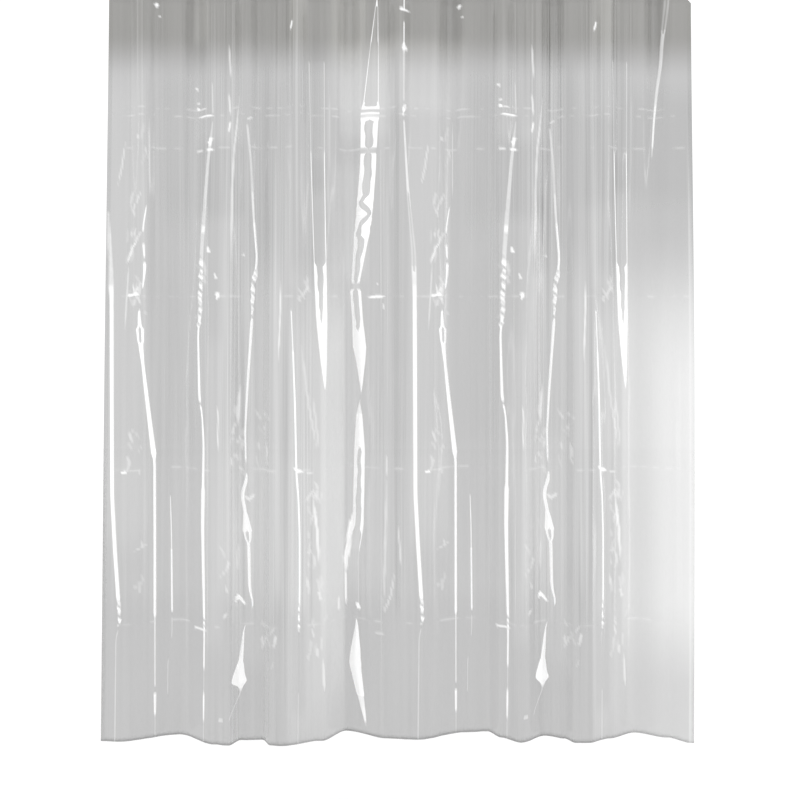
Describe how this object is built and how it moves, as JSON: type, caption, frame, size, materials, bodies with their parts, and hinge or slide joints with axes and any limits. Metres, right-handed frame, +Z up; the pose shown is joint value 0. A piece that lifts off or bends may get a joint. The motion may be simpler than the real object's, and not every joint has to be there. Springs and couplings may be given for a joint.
{
  "type": "shower curtain",
  "caption": "Clear vinyl shower curtain, welded header and hems, snap eyelets and long clear rings that slide on a rod.",
  "frame": {"origin": "on the axis of the rod seat, half way between the two end rings", "axes": "+X along the rod, to the right as the front is faced; +Z up; the front faces -Y"},
  "size_m": [1.572, 0.0968, 2.0415],
  "materials": {
    "clear_film": "clear glossy vinyl film, 0.2 mm",
    "welded_film": "clear glossy vinyl, two layers welded",
    "eyelet_plastic": "clear moulded plastic",
    "ring_plastic": "clear moulded plastic"
  },
  "bodies": {
    "root": {"ring_01": "ring_plastic"},
    "curtain": {"film_panel": "clear_film", "header_band": "welded_film", "left_hem": "welded_film", "right_hem": "welded_film", "bottom_hem": "welded_film", "eyelet_front_01": "eyelet_plastic", "eyelet_back_01": "eyelet_plastic"},
    "ring_02": {"ring_02": "ring_plastic"},
    "eyelet_02": {"eyelet_front_02": "eyelet_plastic", "eyelet_back_02": "eyelet_plastic"},
    "ring_03": {"ring_03": "ring_plastic"},
    "eyelet_03": {"eyelet_front_03": "eyelet_plastic", "eyelet_back_03": "eyelet_plastic"},
    "ring_04": {"ring_04": "ring_plastic"},
    "eyelet_04": {"eyelet_front_04": "eyelet_plastic", "eyelet_back_04": "eyelet_plastic"},
    "ring_05": {"ring_05": "ring_plastic"},
    "eyelet_05": {"eyelet_front_05": "eyelet_plastic", "eyelet_back_05": "eyelet_plastic"},
    "ring_06": {"ring_06": "ring_plastic"},
    "eyelet_06": {"eyelet_front_06": "eyelet_plastic", "eyelet_back_06": "eyelet_plastic"},
    "ring_07": {"ring_07": "ring_plastic"},
    "eyelet_07": {"eyelet_front_07": "eyelet_plastic", "eyelet_back_07": "eyelet_plastic"},
    "ring_08": {"ring_08": "ring_plastic"},
    "eyelet_08": {"eyelet_front_08": "eyelet_plastic", "eyelet_back_08": "eyelet_plastic"},
    "ring_09": {"ring_09": "ring_plastic"},
    "eyelet_09": {"eyelet_front_09": "eyelet_plastic", "eyelet_back_09": "eyelet_plastic"},
    "ring_10": {"ring_10": "ring_plastic"},
    "eyelet_10": {"eyelet_front_10": "eyelet_plastic", "eyelet_back_10": "eyelet_plastic"},
    "ring_11": {"ring_11": "ring_plastic"},
    "eyelet_11": {"eyelet_front_11": "eyelet_plastic", "eyelet_back_11": "eyelet_plastic"},
    "ring_12": {"ring_12": "ring_plastic"},
    "eyelet_12": {"eyelet_front_12": "eyelet_plastic", "eyelet_back_12": "eyelet_plastic"}
  },
  "joints": [
    {"name": "draw", "type": "slide", "parent": "root", "child": "ring_12", "axis": [-1, 0, 0], "range_m": [0, 1.05], "deforming": ["film_panel", "header_band", "left_hem", "right_hem", "bottom_hem"]},
    {"name": "sway", "type": "hinge", "parent": "root", "child": "curtain", "pos_m": [-0.75, 0, -0.0405], "axis": [1, 0, 0], "range_deg": [-15, 15]},
    {"name": "ring_02_slide", "type": "slide", "parent": "root", "child": "ring_02", "axis": [-1, 0, 0], "range_m": [0, 0.09566]},
    {"name": "eyelet_02_swing", "type": "hinge", "parent": "ring_02", "child": "eyelet_02", "pos_m": [-0.61364, 0, -0.0405], "axis": [1, 0, 0], "range_deg": [-15.01, 15.01]},
    {"name": "ring_03_slide", "type": "slide", "parent": "root", "child": "ring_03", "axis": [-1, 0, 0], "range_m": [0, 0.19111]},
    {"name": "eyelet_03_swing", "type": "hinge", "parent": "ring_03", "child": "eyelet_03", "pos_m": [-0.47727, 0, -0.0405], "axis": [1, 0, 0], "range_deg": [-15.01, 15.01]},
    {"name": "ring_04_slide", "type": "slide", "parent": "root", "child": "ring_04", "axis": [-1, 0, 0], "range_m": [0, 0.28656]},
    {"name": "eyelet_04_swing", "type": "hinge", "parent": "ring_04", "child": "eyelet_04", "pos_m": [-0.34091, 0, -0.0405], "axis": [1, 0, 0], "range_deg": [-15.01, 15.01]},
    {"name": "ring_05_slide", "type": "slide", "parent": "root", "child": "ring_05", "axis": [-1, 0, 0], "range_m": [0, 0.38202]},
    {"name": "eyelet_05_swing", "type": "hinge", "parent": "ring_05", "child": "eyelet_05", "pos_m": [-0.20455, 0, -0.0405], "axis": [1, 0, 0], "range_deg": [-15.01, 15.01]},
    {"name": "ring_06_slide", "type": "slide", "parent": "root", "child": "ring_06", "axis": [-1, 0, 0], "range_m": [0, 0.47747]},
    {"name": "eyelet_06_swing", "type": "hinge", "parent": "ring_06", "child": "eyelet_06", "pos_m": [-0.06818, 0, -0.0405], "axis": [1, 0, 0], "range_deg": [-15.01, 15.01]},
    {"name": "ring_07_slide", "type": "slide", "parent": "root", "child": "ring_07", "axis": [-1, 0, 0], "range_m": [0, 0.57293]},
    {"name": "eyelet_07_swing", "type": "hinge", "parent": "ring_07", "child": "eyelet_07", "pos_m": [0.06818, 0, -0.0405], "axis": [1, 0, 0], "range_deg": [-15.01, 15.01]},
    {"name": "ring_08_slide", "type": "slide", "parent": "root", "child": "ring_08", "axis": [-1, 0, 0], "range_m": [0, 0.66838]},
    {"name": "eyelet_08_swing", "type": "hinge", "parent": "ring_08", "child": "eyelet_08", "pos_m": [0.20455, 0, -0.0405], "axis": [1, 0, 0], "range_deg": [-15.01, 15.01]},
    {"name": "ring_09_slide", "type": "slide", "parent": "root", "child": "ring_09", "axis": [-1, 0, 0], "range_m": [0, 0.76384]},
    {"name": "eyelet_09_swing", "type": "hinge", "parent": "ring_09", "child": "eyelet_09", "pos_m": [0.34091, 0, -0.0405], "axis": [1, 0, 0], "range_deg": [-15.01, 15.01]},
    {"name": "ring_10_slide", "type": "slide", "parent": "root", "child": "ring_10", "axis": [-1, 0, 0], "range_m": [0, 0.85929]},
    {"name": "eyelet_10_swing", "type": "hinge", "parent": "ring_10", "child": "eyelet_10", "pos_m": [0.47727, 0, -0.0405], "axis": [1, 0, 0], "range_deg": [-15.01, 15.01]},
    {"name": "ring_11_slide", "type": "slide", "parent": "root", "child": "ring_11", "axis": [-1, 0, 0], "range_m": [0, 0.95474]},
    {"name": "eyelet_11_swing", "type": "hinge", "parent": "ring_11", "child": "eyelet_11", "pos_m": [0.61364, 0, -0.0405], "axis": [1, 0, 0], "range_deg": [-15.01, 15.01]},
    {"name": "eyelet_12_swing", "type": "hinge", "parent": "ring_12", "child": "eyelet_12", "pos_m": [0.75, 0, -0.0405], "axis": [1, 0, 0], "range_deg": [-15.01, 15.01]}
  ],
  "couplings": [
    {"joint": "ring_02_slide", "follows": "draw", "ratio": 0.090909},
    {"joint": "eyelet_02_swing", "follows": "sway", "ratio": 1},
    {"joint": "ring_03_slide", "follows": "draw", "ratio": 0.18182},
    {"joint": "eyelet_03_swing", "follows": "sway", "ratio": 1},
    {"joint": "ring_04_slide", "follows": "draw", "ratio": 0.27273},
    {"joint": "eyelet_04_swing", "follows": "sway", "ratio": 1},
    {"joint": "ring_05_slide", "follows": "draw", "ratio": 0.36364},
    {"joint": "eyelet_05_swing", "follows": "sway", "ratio": 1},
    {"joint": "ring_06_slide", "follows": "draw", "ratio": 0.45454},
    {"joint": "eyelet_06_swing", "follows": "sway", "ratio": 1},
    {"joint": "ring_07_slide", "follows": "draw", "ratio": 0.54546},
    {"joint": "eyelet_07_swing", "follows": "sway", "ratio": 1},
    {"joint": "ring_08_slide", "follows": "draw", "ratio": 0.63636},
    {"joint": "eyelet_08_swing", "follows": "sway", "ratio": 1},
    {"joint": "ring_09_slide", "follows": "draw", "ratio": 0.72727},
    {"joint": "eyelet_09_swing", "follows": "sway", "ratio": 1},
    {"joint": "ring_10_slide", "follows": "draw", "ratio": 0.81818},
    {"joint": "eyelet_10_swing", "follows": "sway", "ratio": 1},
    {"joint": "ring_11_slide", "follows": "draw", "ratio": 0.90909},
    {"joint": "eyelet_11_swing", "follows": "sway", "ratio": 1},
    {"joint": "eyelet_12_swing", "follows": "sway", "ratio": 1}
  ]
}
